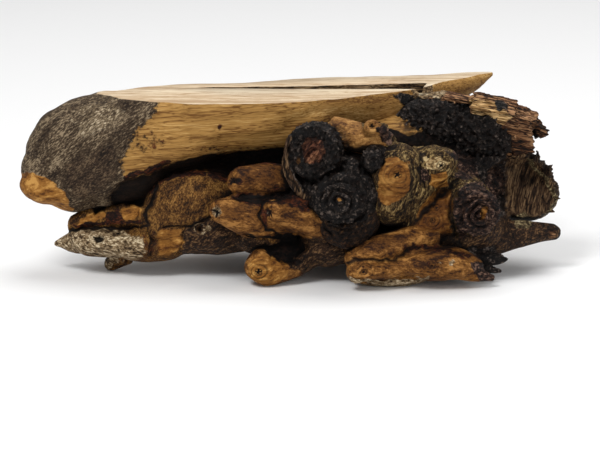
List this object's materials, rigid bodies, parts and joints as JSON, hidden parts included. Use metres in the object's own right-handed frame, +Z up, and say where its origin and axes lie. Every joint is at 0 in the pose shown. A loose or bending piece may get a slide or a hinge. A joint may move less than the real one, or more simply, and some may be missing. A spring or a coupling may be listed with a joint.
{
  "type": "burl turning blank",
  "caption": "Short length of burled log for turning, with one sawn face, a drying crack, a smooth weathered end, cut-off shoot knobs and a torn bark-covered end.",
  "frame": {"origin": "on the surface that the blank stands on, under the middle of its bounding box", "axes": "+X along the grain towards the torn end, +Y towards the back, away from the knobbly front, +Z up, out of the sawn face"},
  "size_m": [0.3782, 0.1755, 0.125],
  "materials": {
    "burl_wood": "raw, weathered, with bark"
  },
  "bodies": {
    "root": {"burl_blank": "burl_wood"}
  },
  "joints": []
}
